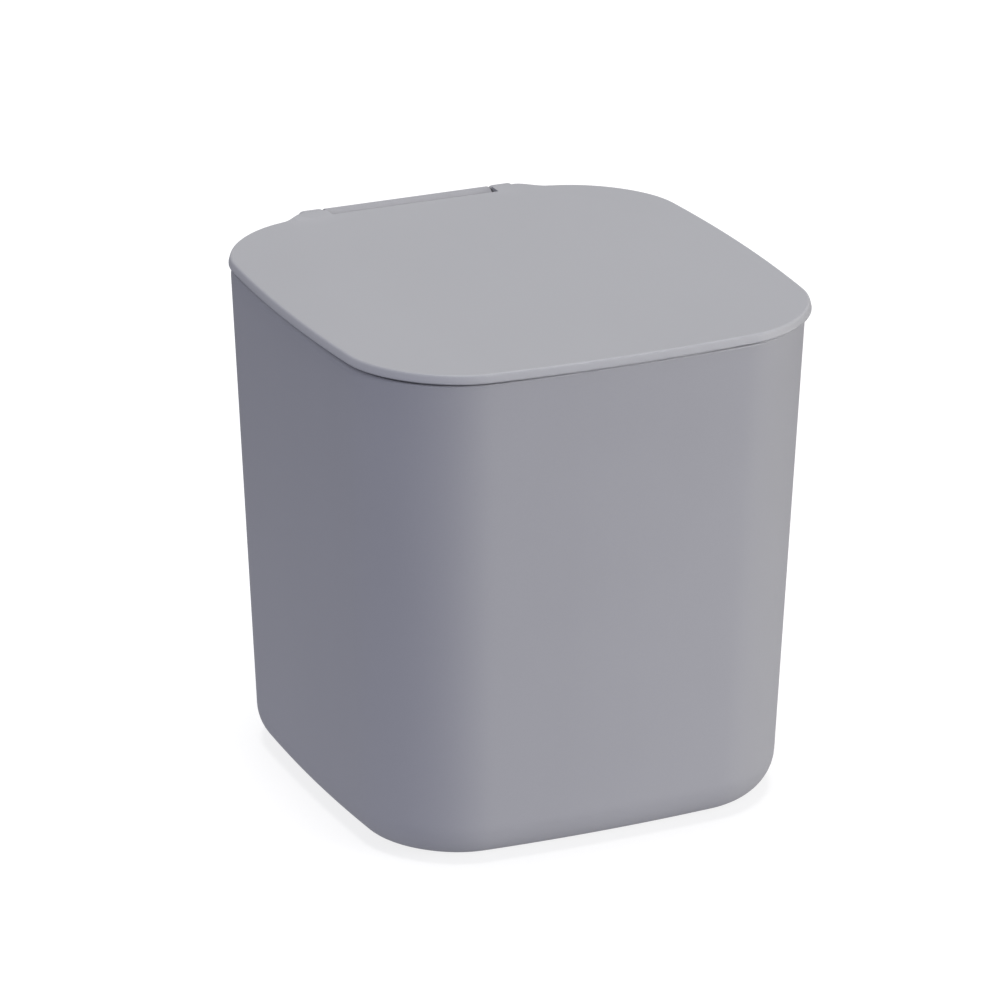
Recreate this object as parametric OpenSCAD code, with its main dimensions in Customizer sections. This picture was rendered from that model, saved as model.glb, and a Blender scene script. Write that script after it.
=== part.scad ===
// Push top countertop bin. Millimetres, +Z up, the front is -Y.
// The origin is under the middle of the overall width and depth, on the plane the feet stand on.

/* [Overall size] */
// Full height with the lid shut
total_h = 120; // [108:1:132]
// Half width of the body at its base
base_hx = 52.3; // [46:0.1:58]
// Half depth of the body at its base
base_hy = 52.5; // [46:0.1:58]
// Half width of the body at its rim
rim_hx = 56.5; // [50:0.1:62]
// Half depth of the body at its rim
rim_hy = 57.4; // [50:0.1:62]
// Corner radius of the body at its base
base_r = 21.1; // [15:0.5:26]
// Corner radius of the body at its rim
rim_r = 23; // [15:0.5:28]
// How far the middle of each side bows out
side_bow = 2.6; // [0:0.1:4]
// Wall of the bucket
wall = 2; // [1.6:0.1:3]
// How far the rounded bottom edge goes in
foot_edge_r = 7.2; // [4:0.2:12]
// Height of the rounded bottom edge
foot_edge_h = 8.8; // [4:0.2:12]
// Thickness of the lip that stands round the rim frame
lip_t = 1.4; // [1.3:0.1:1.6]

/* [Lid] */
// Half width of the lid
lid_hx = 57.5; // [51:0.1:63]
// Front edge of the lid from the middle of the base
lid_front = 60.2; // [54:0.1:66]
// Back edge of the lid, without the hinge tab
lid_back = 58; // [52:0.1:64]
// Corner radius of the lid
lid_r = 21.7; // [15:0.1:28]
// How far the lid's sides bow out
lid_bow = 3.8; // [0:0.1:5]
// Height of the lid's edge
lid_t = 2.1; // [1.8:0.1:4]
// Free gap between the lid and the rim, used up when it is pressed
press_gap = 1.1; // [1:0.1:2.5]

/* [Hinge] */
// Hinge axis behind the middle of the base
hinge_y = 61.3; // [56:0.1:68]
// Hinge axis below the lid's top
hinge_drop = 3.7; // [3:0.1:5]
// Outer radius of the barrel on the rim frame
barrel_r = 3.4; // [2.6:0.1:4]
// Outer radius of the ears on the lid
ear_r = 3.5; // [2.6:0.1:4]
// Half length of the barrel
barrel_hx = 21; // [16:0.1:30]
// Width of each ear
ear_w = 5.9; // [2.5:0.1:8]
// Radius of the hinge pin
pin_r = 1.25; // [0.8:0.05:1.6]
// Running clearance round the pin
pin_gap = 0.05; // [0.02:0.01:0.09]

/* [Latch] */
// Middle of the latch in front of the middle of the base
latch_y = 45.5; // [38:0.5:48]

/* [Hidden] */

lid_top = total_h;
lid_low = lid_top - lid_t;            // 117.9
rim_top = lid_low - press_gap;        // 116.8
flange_t = 1.6;
wall_top = rim_top - flange_t;        // 115.2, the ledge that the rim frame rests on
hinge_z = lid_top - hinge_drop;       // 116.3
pad_out = 0.5;                        // the pads stand this far out of the base
mid_y = (hinge_y + ear_r - lid_front)/2;  // middle of the overall depth
floor_t = 2.2;
NC = 10;                              // steps round a corner
NS = 6;                               // steps along a side

grey = [0.66, 0.66, 0.68];
pale = [0.72, 0.72, 0.74];
white = [0.86, 0.86, 0.84];
steel = [0.72, 0.73, 0.75];
dark = [0.2, 0.2, 0.21];

// ---------- outlines ----------
function mix(a, b, t) = a + (b - a)*t;
function clamp01(t) = min(1, max(0, t));
function smooth(t) = let (u = clamp01(t)) u*u*(3 - 2*u);

// a rounded rectangle's corner q (0..3, anticlockwise from +X+Y), half sizes A, B
function corner(A, B, r, q) =
    let (sx = (q == 0 || q == 3) ? 1 : -1, sy = (q < 2) ? 1 : -1)
    [for (i = [0:NC]) let (w = 90*q + 90*i/NC) [sx*(A - r) + r*cos(w), sy*(B - r) + r*sin(w)]];
function side(p, q) = [for (k = [1:NS - 1]) [mix(p[0], q[0], k/NS), mix(p[1], q[1], k/NS)]];
function bowed(p, A, B, s, yc) =
    [p[0]*(1 + s/A*(1 - pow(p[1]/B, 2))), p[1]*(1 + s/B*(1 - pow(p[0]/A, 2))) + yc];
// a rounded rectangle whose sides bow out by s, to the half width a and from y0 to y1
function outline(a, y0, y1, r, s) =
    let (A = a - s, B = (y1 - y0)/2 - s, yc = (y0 + y1)/2,
         c0 = corner(A, B, r, 0), c1 = corner(A, B, r, 1), c2 = corner(A, B, r, 2), c3 = corner(A, B, r, 3),
         all = concat(c0, side(c0[NC], c1[0]), c1, side(c1[NC], c2[0]), c2, side(c2[NC], c3[0]),
                      c3, side(c3[NC], c0[0])))
    [for (p = all) bowed(p, A, B, s, yc)];
// the body's outline at height z, taken in by d
function body_at(z, d) =
    let (t = z/rim_top, hx = mix(base_hx, rim_hx, t) - d, hy = mix(base_hy, rim_hy, t) - d)
    outline(hx, -hy, hy, mix(base_r, rim_r, t) - d, side_bow);

// the lid's outline with its hinge tab, taken in by d
tab_y = 60.9;
tab_x1 = 34.2;
tab_x0 = 27.1;
NT = 40;
function back_y(x, A, B, yc, d) =
    let (yb = B*(1 + lid_bow/B*(1 - pow(x/A, 2))) + yc,
         f = smooth((tab_x1 - (abs(x) + 0.7*d))/(tab_x1 - tab_x0)))
    yb + (tab_y - d - yb)*f;
function lid_line(d) =
    let (a = lid_hx - d, y0 = -lid_front + d, y1 = lid_back - d, r = lid_r - d, s = lid_bow,
         A = a - s, B = (y1 - y0)/2 - s, yc = (y0 + y1)/2,
         c0 = corner(A, B, r, 0), c1 = corner(A, B, r, 1), c2 = corner(A, B, r, 2), c3 = corner(A, B, r, 3),
         first = [for (p = c0) let (b = bowed(p, A, B, s, yc)) abs(b[0]) < tab_x1 ? [b[0], back_y(b[0], A, B, yc, d)] : b],
         tab = [for (k = [0:NT]) let (x = mix(tab_x1 - 0.2, -tab_x1 + 0.2, k/NT)) [x, back_y(x, A, B, yc, d)]],
         second = [for (p = c1) let (b = bowed(p, A, B, s, yc)) abs(b[0]) < tab_x1 ? [b[0], back_y(b[0], A, B, yc, d)] : b])
    concat([for (p = first) if (p[0] > tab_x1) p], tab, [for (p = second) if (p[0] < -tab_x1) p],
           [for (p = side(c1[NC], c2[0])) bowed(p, A, B, s, yc)],
           [for (p = c2) bowed(p, A, B, s, yc)],
           [for (p = side(c2[NC], c3[0])) bowed(p, A, B, s, yc)],
           [for (p = c3) bowed(p, A, B, s, yc)],
           [for (p = side(c3[NC], c0[0])) bowed(p, A, B, s, yc)]);

// ---------- lofts ----------
function ring_pts(rings) = [for (r = rings) for (p = r[1]) [p[0], p[1], r[0]]];
function tube_tris(n, m, closed) =
    [for (j = [0:(closed ? m - 1 : m - 2)]) for (i = [0:n - 1])
        let (a = j*n + i, b = j*n + (i + 1)%n, c = ((j + 1)%m)*n + (i + 1)%n, d = ((j + 1)%m)*n + i)
        each [[a, c, b], [a, d, c]]];
// rings of [z, outline] from the bottom up, closed by flat caps
module loft(rings) {
    n = len(rings[0][1]);
    m = len(rings);
    polyhedron(points = ring_pts(rings),
               faces = concat(tube_tris(n, m, false), [[for (i = [0:n - 1]) i]],
                              [[for (i = [0:n - 1]) (m - 1)*n + n - 1 - i]]));
}
// rings that come back to the first one, down the outside and up the inside
module loop_loft(rings) {
    n = len(rings[0][1]);
    m = len(rings);
    polyhedron(points = ring_pts([for (i = [m - 1:-1:0]) rings[i]]), faces = tube_tris(n, m, true));
}
// a round wire along a path, u is the side direction used to start each ring
module wire(path, r, k, side_dir) {
    n = len(path);
    pts = [for (i = [0:n - 1])
        let (t0 = path[min(n - 1, i + 1)] - path[max(0, i - 1)],
             t = t0/norm(t0),
             u0 = cross(side_dir, t), u = u0/norm(u0), v = cross(t, u))
        for (j = [0:k - 1]) path[i] + r*cos(360*j/k)*u + r*sin(360*j/k)*v];
    polyhedron(points = pts,
               faces = concat([for (j = [0:n - 2]) for (i = [0:k - 1])
                   let (a = j*k + i, b = j*k + (i + 1)%k, c = (j + 1)*k + (i + 1)%k, d = (j + 1)*k + i)
                   each [[a, c, b], [a, d, c]]],
                   [[for (i = [0:k - 1]) i]], [[for (i = [0:k - 1]) (n - 1)*k + k - 1 - i]]));
}

// the sketches below are centred on the base, the finished pieces on the overall depth
module centred() {
    translate([0, -mid_y, 0]) children();
}

module xbar(x0, x1, y, z, r, fn) {
    translate([x0, y, z]) rotate([0, 90, 0]) cylinder(h = x1 - x0, r = r, $fn = fn);
}
module ybar(x, y0, y1, z, r, fn) {
    translate([x, y0, z]) rotate([-90, 0, 0]) cylinder(h = y1 - y0, r = r, $fn = fn);
}
module slab(x0, x1, y0, y1, z0, z1) {
    translate([x0, y0, z0]) cube([x1 - x0, y1 - y0, z1 - z0]);
}

// ---------- bucket ----------
pad_x = 31;
pad_y = 31;
pad_r = 5;
module bucket() {
    R = foot_edge_r;
    H = foot_edge_h;
    Ri = foot_edge_r - wall;
    Hi = foot_edge_h - wall;
    zb = pad_out;
    zf = zb + floor_t;
    color(grey) centred()
    difference() {
        loft(concat(
            [for (t = [0:15:90]) [zb + H*(1 - cos(t)), body_at(zb + H*(1 - cos(t)), R*(1 - sin(t)))]],
            [[rim_top - 1.7, body_at(rim_top - 1.7, 0)],
             [rim_top - 0.95, body_at(rim_top - 0.95, 0.12)],
             [rim_top - 0.5, body_at(rim_top - 0.5, 0.36)],
             [rim_top - 0.15, body_at(rim_top - 0.15, 0.76)],
             [rim_top, body_at(rim_top, 1.15)]]));
        loft(concat(
            [for (t = [0:18:90]) [zf + Hi*(1 - cos(t)), body_at(zf + Hi*(1 - cos(t)), wall + Ri*(1 - sin(t)))]],
            [[wall_top + 0.2, body_at(wall_top + 0.2, wall)]]));
        // rebate in the mouth that the rim frame drops into
        loft([[wall_top, body_at(wall_top, lip_t)], [rim_top + 1, body_at(rim_top + 1, lip_t)]]);
        // notch in the rear lip for the hinge barrel's web
        slab(-barrel_hx - 0.3, barrel_hx + 0.3, 53, 60, wall_top, rim_top + 1);
        // seats for the pads
        for (x = [-pad_x, pad_x]) for (y = [-pad_y, pad_y])
            translate([x, y, zb - 1]) cylinder(h = 2.1, r = pad_r + 0.1, $fn = 64);
        // pockets that the rim frame's clips snap into
        for (s = [0, 1]) {
            mirror([s, 0, 0]) for (y = [-18, 18]) slab(53.4, 55.3, y - 4.3, y + 4.3, 106.8, 109.4);
            mirror([0, s, 0]) for (x = [-30, 30]) slab(x - 4.3, x + 4.3, 53.4, 55.1, 106.8, 109.4);
        }
    }
}

// ---------- rim frame with the hinge barrel and the latch shelf ----------
skirt_low = 105.4;
shelf_hi = 114.3;
shelf_lo = shelf_hi - 3.1;            // 111.2
ly = -latch_y;
module rim_frame() {
    color(pale) centred()
    difference() {
        union() {
            loop_loft([
                [skirt_low, body_at(skirt_low, wall + 0.15)],
                [skirt_low, body_at(skirt_low, wall + 1.9)],
                [wall_top - 2, body_at(wall_top - 2, wall + 1.9)],
                [wall_top - 0.5, body_at(wall_top - 0.5, 5.5)],
                [rim_top - 0.5, body_at(rim_top - 0.5, 5.5)],
                [rim_top - 0.15, body_at(rim_top - 0.15, 5.35)],
                [rim_top, body_at(rim_top, 5)],
                [rim_top, body_at(rim_top, lip_t + 0.35)],
                [rim_top - 0.2, body_at(rim_top - 0.2, lip_t + 0.15)],
                [wall_top, body_at(wall_top, lip_t + 0.15)],
                [wall_top, body_at(wall_top, wall + 0.15)]]);
            // latch shelf and its two gussets
            slab(-15, 15, -54, ly + 6.8, shelf_lo, shelf_hi);
            for (s = [-1, 1]) translate([s*14.2 - 0.8, 0, 0])
                rotate([90, 0, 90]) linear_extrude(height = 1.6)
                    polygon([[-54, 105.4], [-52.5, 105.4], [ly + 5.8, shelf_lo + 0.1], [-54, shelf_lo + 0.1]]);
            // hinge barrel and the web that carries it
            xbar(-barrel_hx, barrel_hx, hinge_y, hinge_z, barrel_r, 96);
            translate([-barrel_hx, 0, 0]) rotate([90, 0, 90]) linear_extrude(height = 2*barrel_hx)
                polygon([[53.5, wall_top], [57.7, wall_top], [57.7, 109.6], [58.8, 109.4], [60.4, 110.6],
                         [hinge_y + 2.2, hinge_z - 2.5], [hinge_y, hinge_z], [hinge_y - 2.4, rim_top], [53.5, rim_top]]);
            // clips
            for (s = [0, 1]) {
                mirror([s, 0, 0]) for (y = [-18, 18]) slab(52.9, 55, y - 4, y + 4, 107.2, 109);
                mirror([0, s, 0]) for (x = [-30, 30]) slab(x - 4, x + 4, 52.9, 54.8, 107.2, 109);
            }
        }
        // bore for the pin and room for the spring's coil and legs
        xbar(-barrel_hx - 1, barrel_hx + 1, hinge_y, hinge_z, pin_r + pin_gap, 48);
        xbar(-5.4, 5.4, hinge_y, hinge_z, 2.75, 64);
        slab(3.5, 4.9, hinge_y - 6, hinge_y - 1.7, hinge_z - 0.5, hinge_z + 2.1);
        slab(-4.9, -3.5, hinge_y + 1.1, hinge_y + 2.6, hinge_z - 4.5, hinge_z);
        // window for the latch
        slab(-6.8, 6.8, ly - 3.9, ly + 3.9, shelf_lo - 1, shelf_hi + 1);
        // blind holes for the latch screws
        for (s = [-1, 1]) translate([s*10.6, ly, shelf_lo - 0.1]) cylinder(h = 2.4, r = 1, $fn = 32);
    }
}

// ---------- lid ----------
module lid() {
    color(grey) centred()
    difference() {
        union() {
            difference() {
                loft([
                    [lid_low, lid_line(0.35)],
                    [lid_low + 0.1, lid_line(0.12)],
                    [lid_low + 0.3, lid_line(0)],
                    [lid_top - 1.4, lid_line(0.04)],
                    [lid_top - 1, lid_line(0.14)],
                    [lid_top - 0.55, lid_line(0.3)],
                    [lid_top - 0.25, lid_line(0.5)],
                    [lid_top - 0.08, lid_line(0.76)],
                    [lid_top, lid_line(1.2)]]);
                // shallow relief under the plate
                loft([[lid_low - 1, body_at(110, 10)], [lid_low + 0.7, body_at(110, 10)]]);
            }
            // ears
            xbar(barrel_hx + 0.35, barrel_hx + 0.35 + ear_w, hinge_y, hinge_z, ear_r, 96);
            xbar(-barrel_hx - 0.35 - ear_w, -barrel_hx - 0.35, hinge_y, hinge_z, ear_r, 96);
            for (s = [0, 1]) mirror([s, 0, 0])
                translate([barrel_hx + 0.35, 0, 0]) rotate([90, 0, 90]) linear_extrude(height = ear_w)
                    polygon([[56.6, lid_low + 0.4], [57.4, lid_low - 0.1], [hinge_y - 2.5, hinge_z - 0.6], [hinge_y, hinge_z],
                             [hinge_y, hinge_z + ear_r - 0.1], [58, lid_top - 0.5], [56.6, lid_top - 0.5]]);
            // locating skirt inside the rim frame's mouth
            difference() {
                loop_loft([
                    [lid_low - 2.4, body_at(rim_top, 6.4)],
                    [lid_low - 2.4, body_at(rim_top, 7.3)],
                    [lid_low + 0.3, body_at(rim_top, 7.6)],
                    [lid_low + 0.3, body_at(rim_top, 6.2)]]);
                slab(-17, 17, -60, -30, lid_low - 4, lid_low - 0.3);
            }
            // ribs under the plate
            for (x = [-30, -10, 10, 30]) slab(x - 0.6, x + 0.6, -34, 44, lid_low - 0.9, lid_low + 0.9);
            for (y = [-34, 5, 44]) slab(-42, 42, y - 0.6, y + 0.6, lid_low - 0.9, lid_low + 0.9);
            // rim that holds the striker's foot
            slab(-7.2, 7.2, ly - 5.6, ly + 5.6, lid_low - 1.1, lid_low + 0.9);
        }
        // room for the barrel
        slab(-barrel_hx - 0.35, barrel_hx + 0.35, 56.4, 70, 110, 125);
        // bore for the pin
        xbar(-40, 40, hinge_y, hinge_z, pin_r + pin_gap, 48);
        // seat of the striker's foot
        slab(-6.05, 6.05, ly - 4.45, ly + 4.45, lid_low - 3, lid_low + 0.7);
    }
}

// ---------- striker under the lid ----------
module striker() {
    color(white) centred()
    union() {
        slab(-6, 6, ly - 4.4, ly + 4.4, lid_low - 1, lid_low + 0.7);
        slab(-0.9, 0.9, ly - 2.2, ly + 2.2, 108, lid_low - 0.9);
        // gussets at the root
        for (s = [-1, 1]) translate([0, ly + s*1.6 - 0.5, 0]) rotate([90, 0, 0]) mirror([0, 0, 1])
            linear_extrude(height = 1)
                polygon([[-3.4, lid_low - 0.95], [3.4, lid_low - 0.95], [0.9, lid_low - 3], [-0.9, lid_low - 3]]);
        // head that the jaws hold
        translate([0, ly - 2.2, 0]) rotate([90, 0, 0]) mirror([0, 0, 1]) linear_extrude(height = 4.4)
            polygon([[-0.9, 109.7], [-2.6, 109.3], [-2.6, 108.3], [-1.2, 106.6], [1.2, 106.6], [2.6, 108.3],
                     [2.6, 109.3], [0.9, 109.7]]);
    }
}

// ---------- hinge pin ----------
module hinge_pin() {
    L = barrel_hx + 0.35 + ear_w - 0.3;
    color(steel) centred()
    translate([-L, hinge_y, hinge_z]) rotate([0, 90, 0])
        rotate_extrude($fn = 64)
            polygon([[0, 0], [pin_r - 0.3, 0], [pin_r, 0.3], [pin_r, 2*L - 0.3], [pin_r - 0.3, 2*L], [0, 2*L]]);
}

// ---------- torsion spring round the pin ----------
module torsion_spring() {
    R = 2.05;
    turns = 6;
    last = 360*turns + 110;
    n = 16*turns + 5;
    function at(w, x) = [x, hinge_y + R*cos(w), hinge_z + R*sin(w)];
    e = at(110, 4.2);
    path = concat(
        [for (k = [0:2]) [-4.2, hinge_y + R, hinge_z - 3.1 + k]],
        [for (i = [0:n]) at(last*i/n, mix(-4.2, 4.2, i/n))],
        [for (k = [1:4]) e + k*1.18*[0, -sin(110), cos(110)]]);
    color(steel) centred() wire(path, 0.33, 8, [1, 0.001, 0.002]);
}

// ---------- latch housing, screwed under the shelf ----------
module latch_housing() {
    color(dark) centred()
    difference() {
        union() {
            slab(-7.5, 7.5, ly - 5, ly + 5, 88, shelf_lo - 1);
            slab(-13.1, 13.1, ly - 5.2, ly + 5.2, shelf_lo - 2, shelf_lo);
        }
        // bore of the plunger
        slab(-4.75, 4.75, ly - 3.5, ly + 3.5, 92.5, shelf_lo + 1);
        // flare that the jaws open into
        translate([0, ly - 3.5, 0]) rotate([90, 0, 0]) mirror([0, 0, 1]) linear_extrude(height = 7)
            polygon([[-4.7, 105], [4.7, 105], [5.7, shelf_lo + 0.5], [-5.7, shelf_lo + 0.5]]);
        // slot of the cam pin's long leg, and the hole it pivots in
        slab(-2.3, 2.3, ly - 6, ly - 3.4, 89.8, 104.6);
        ybar(0, ly - 4, ly - 1.4, 90.6, 0.45, 32);
        // screw holes
        for (s = [-1, 1]) translate([s*10.6, ly, shelf_lo - 3]) cylinder(h = 4, r = 1.15, $fn = 32);
    }
}

module latch_screws() {
    color(steel) centred()
    for (s = [-1, 1]) translate([s*10.6, ly, 0]) difference() {
        translate([0, 0, shelf_lo - 3.3]) rotate_extrude($fn = 48)
            polygon([[0, 0], [1.3, 0], [1.9, 0.5], [1.9, 1.3], [0.95, 1.3], [0.95, 5.2], [0.5, 5.5], [0, 5.5]]);
        slab(-1.3, 1.3, -0.2, 0.2, shelf_lo - 4, shelf_lo - 2.7);
        slab(-0.2, 0.2, -1.3, 1.3, shelf_lo - 4, shelf_lo - 2.7);
    }
}

// ---------- plunger with its cam track ----------
jaw_x = 3;
jaw_z = 104.5;
jaw_pin_r = 0.6;
module latch_plunger() {
    color(white) centred()
    difference() {
        union() {
            slab(-4.35, 4.35, ly - 3.2, ly + 3.2, 94, 102.8);
            slab(-1.3, 1.3, ly - 3.2, ly + 3.2, 102, 106.2);
            slab(-4.35, 4.35, ly - 3.2, ly - 2.1, 102, 106.1);
            slab(-4.35, 4.35, ly + 2.1, ly + 3.2, 102, 106.1);
        }
        // bore of the spring
        translate([0, ly, 93]) cylinder(h = 7, r = 1.95, $fn = 48);
        // holes of the jaw pins
        for (s = [-1, 1]) ybar(s*jaw_x, ly - 4, ly + 4, jaw_z, jaw_pin_r + 0.02, 32);
        // cam track round its island
        translate([0, ly - 3.7, 0]) rotate([90, 0, 0]) mirror([0, 0, 1]) linear_extrude(height = 1.2)
            difference() {
                polygon([[-1.0, 105.0], [0.9, 105.0], [1.5, 102], [2.0, 98.5], [2.0, 96.4], [0.2, 96.0], [-2.1, 97.4],
                         [-2.5, 100], [-2.3, 103]]);
                polygon([[-0.75, 102.1], [-1.05, 101.7], [-1.4, 102.3], [-1.6, 101.8], [-1.6, 99.8], [-0.7, 98.3],
                         [0.0, 98.5], [-0.2, 100.1]]);
            }
    }
}

// ---------- jaws ----------
module jaw(s) {
    translate([0, ly - 1.9, 0]) rotate([90, 0, 0]) mirror([0, 0, 1])
        difference() {
            union() {
                translate([s*jaw_x, jaw_z]) cylinder(h = 3.8, r = 1.35, $fn = 48);
                linear_extrude(height = 3.8)
                    polygon([[s*3.25, 104.4], [s*4.35, 104.4], [s*4.35, 111.2], [s*3.9, 112.2], [s*2.9, 112.2],
                             [s*1.7, 110.9], [s*1.7, 110.1], [s*3.25, 110.1]]);
            }
            translate([s*jaw_x, jaw_z, -1]) cylinder(h = 6, r = jaw_pin_r + 0.05, $fn = 32);
        }
}
module jaw_left() { color(dark) centred() jaw(-1); }
module jaw_right() { color(dark) centred() jaw(1); }
module jaw_pins() {
    color(steel) centred()
    for (s = [-1, 1]) ybar(s*jaw_x, ly - 3.15, ly + 3.15, jaw_z, jaw_pin_r, 48);
}

// ---------- compression spring of the latch ----------
module latch_spring() {
    R = 1.5;
    r = 0.21;
    z0 = 92.5 + r + 0.02;
    z1 = 100 - r - 0.02;
    turns = 8;
    n = 16*turns;
    path = [for (i = [0:n]) let (w = 360*turns*i/n,
                f = i < 16 ? 0.06*i/16 : i > n - 16 ? 1 - 0.06*(n - i)/16 : mix(0.06, 0.94, (i - 16)/(n - 32)))
            [R*cos(w), ly + R*sin(w), mix(z0, z1, f)]];
    color(steel) centred() wire(path, r, 6, [0, 0.001, 1]);
}

// ---------- follower pin of the cam ----------
module cam_pin() {
    v = ly - 4.3;
    color(steel) centred()
    union() {
        ybar(0, v, ly - 1.6, 90.6, 0.4, 32);
        translate([0, v, 90.6]) cylinder(h = 12.4, r = 0.4, $fn = 32);
        ybar(0, v, ly - 2.75, 103, 0.4, 32);
        translate([0, v, 90.6]) sphere(r = 0.4, $fn = 32);
        translate([0, v, 103]) sphere(r = 0.4, $fn = 32);
    }
}

// ---------- steel clip that keeps the cam pin in ----------
module latch_clip() {
    color(steel) centred()
    difference() {
        union() {
            slab(-5, 5, ly - 5.6, ly - 5.05, 89.2, 106);
            slab(-8.1, 8.1, ly - 5.6, ly - 5.05, 95, 101);
            for (s = [-1, 1]) slab(s*7.83 - 0.27, s*7.83 + 0.27, ly - 5.6, ly + 1, 95, 101);
        }
        // leaf that presses on the pin
        slab(-1.6, -1.2, ly - 6, ly - 5, 92, 100);
        slab(1.2, 1.6, ly - 6, ly - 5, 92, 100);
        slab(-1.6, 1.6, ly - 6, ly - 5, 99.6, 100);
    }
}

// ---------- pads under the base ----------
module pad(x, y) {
    color(dark) centred()
    translate([x, y, 0]) rotate_extrude($fn = 96)
        polygon([[0, 0], [pad_r - 0.35, 0], [pad_r - 0.1, 0.12], [pad_r, 0.4], [pad_r, 1.55], [0, 1.55]]);
}
module foot_front_left() { pad(-pad_x, -pad_y); }
module foot_front_right() { pad(pad_x, -pad_y); }
module foot_rear_left() { pad(-pad_x, pad_y); }
module foot_rear_right() { pad(pad_x, pad_y); }

bucket();
rim_frame();
lid();
striker();
hinge_pin();
torsion_spring();
latch_housing();
latch_screws();
latch_plunger();
jaw_left();
jaw_right();
jaw_pins();
latch_spring();
cam_pin();
latch_clip();
foot_front_left();
foot_front_right();
foot_rear_left();
foot_rear_right();
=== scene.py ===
import math

import bmesh
import bpy
import numpy as np
from mathutils import Matrix, Vector
from mathutils.geometry import delaunay_2d_cdt


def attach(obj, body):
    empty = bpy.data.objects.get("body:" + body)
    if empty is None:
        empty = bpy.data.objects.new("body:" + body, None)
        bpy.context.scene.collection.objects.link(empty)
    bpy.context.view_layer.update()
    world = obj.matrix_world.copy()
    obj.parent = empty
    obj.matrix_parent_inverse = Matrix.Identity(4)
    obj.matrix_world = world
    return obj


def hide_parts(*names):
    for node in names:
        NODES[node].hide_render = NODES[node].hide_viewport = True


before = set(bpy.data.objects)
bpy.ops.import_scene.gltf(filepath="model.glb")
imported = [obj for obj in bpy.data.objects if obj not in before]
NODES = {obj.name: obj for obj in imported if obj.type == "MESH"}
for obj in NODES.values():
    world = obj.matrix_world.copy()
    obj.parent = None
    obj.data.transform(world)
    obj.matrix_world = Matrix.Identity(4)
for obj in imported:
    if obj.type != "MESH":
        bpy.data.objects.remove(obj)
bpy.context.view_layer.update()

MM = 0.001

# ------------------------------------------------------------------ the part's own sizes, in mm
LID_TOP, LID_LOW, RIM_TOP, WALL_TOP = 120.0, 117.9, 116.8, 115.2
HY, HZ = 61.3, 116.3          # hinge axis
BARREL_R, EAR_R, BARREL_X, EAR_W, PIN_R = 3.4, 3.5, 21.0, 5.9, 1.25
LY = -45.5                    # middle of the latch
SHELF_HI, SHELF_LO = 114.3, 111.2
BOW, LID_BOW = 2.6, 3.8
LIP_T = 1.4                   # the bucket's lip round the rim frame
MID_Y = 2.3                   # the sketches below are centred on the base, the frame on the overall depth


# ------------------------------------------------------------------ outlines
def squircle(a, y0, y1, r, s, nc=22, ns=18):
    """A rounded rectangle whose sides bow out by s, anticlockwise from +X."""
    A, B, yc = a - s, (y1 - y0) / 2 - s, (y0 + y1) / 2
    pts = []
    for q in range(4):
        sx, sy = (1 if q in (0, 3) else -1), (1 if q < 2 else -1)
        for i in range(nc + 1):
            w = math.radians(90 * q + 90 * i / nc)
            pts.append((sx * (A - r) + r * math.cos(w), sy * (B - r) + r * math.sin(w)))
        e = pts[-1]
        w = math.radians(90 * (q + 1))
        sx2, sy2 = (1 if (q + 1) % 4 in (0, 3) else -1), (1 if (q + 1) % 4 < 2 else -1)
        f = (sx2 * (A - r) + r * math.cos(w), sy2 * (B - r) + r * math.sin(w))
        for k in range(1, ns):
            t = k / ns
            pts.append((e[0] + (f[0] - e[0]) * t, e[1] + (f[1] - e[1]) * t))
    p = np.array(pts)
    x = p[:, 0] * (1 + s / A * (1 - (p[:, 1] / B) ** 2))
    y = p[:, 1] * (1 + s / B * (1 - (p[:, 0] / A) ** 2)) + yc
    return np.stack([x, y], 1)


def body_at(z, d, nc=22, ns=18):
    t = z / RIM_TOP
    hx, hy, r = 52.3 + 4.2 * t - d, 52.5 + 4.9 * t - d, 21.1 + 1.9 * t - d
    return squircle(hx, -hy, hy, r, BOW, nc, ns)


def smooth(t):
    t = np.clip(t, 0, 1)
    return t * t * (3 - 2 * t)


def fillet(poly, radii, seg=6):
    """Rounds a polygon's corners: radii is one number a corner, 0 to leave it."""
    out, n = [], len(poly)
    for i in range(n):
        p, a, b = (np.array(poly[j], float) for j in (i, i - 1, (i + 1) % n))
        r = radii[i]
        if r <= 0:
            out.append(tuple(p))
            continue
        u, v = (a - p) / np.linalg.norm(a - p), (b - p) / np.linalg.norm(b - p)
        half = math.acos(max(-1, min(1, float(u @ v)))) / 2
        d = r / math.tan(half)
        c = p + (u + v) / np.linalg.norm(u + v) * r / math.sin(half)
        s, e = p + u * d - c, p + v * d - c
        w0 = math.atan2(s[1], s[0])
        turn = (math.atan2(e[1], e[0]) - w0 + math.pi) % (2 * math.pi) - math.pi
        for k in range(seg + 1):
            w = w0 + turn * k / seg
            out.append((c[0] + r * math.cos(w), c[1] + r * math.sin(w)))
    return out


def inset(p, d):
    """Moves a closed outline in by d along its own normals."""
    a, b = np.roll(p, 1, 0), np.roll(p, -1, 0)
    e0, e1 = p - a, b - p
    n0 = np.stack([-e0[:, 1], e0[:, 0]], 1) / np.linalg.norm(e0, axis=1)[:, None]
    n1 = np.stack([-e1[:, 1], e1[:, 0]], 1) / np.linalg.norm(e1, axis=1)[:, None]
    m = n0 + n1
    m /= np.linalg.norm(m, axis=1)[:, None]
    k = 1 / np.clip((m * n0).sum(1), 0.5, 1)
    return p + m * (d * k)[:, None]


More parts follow.
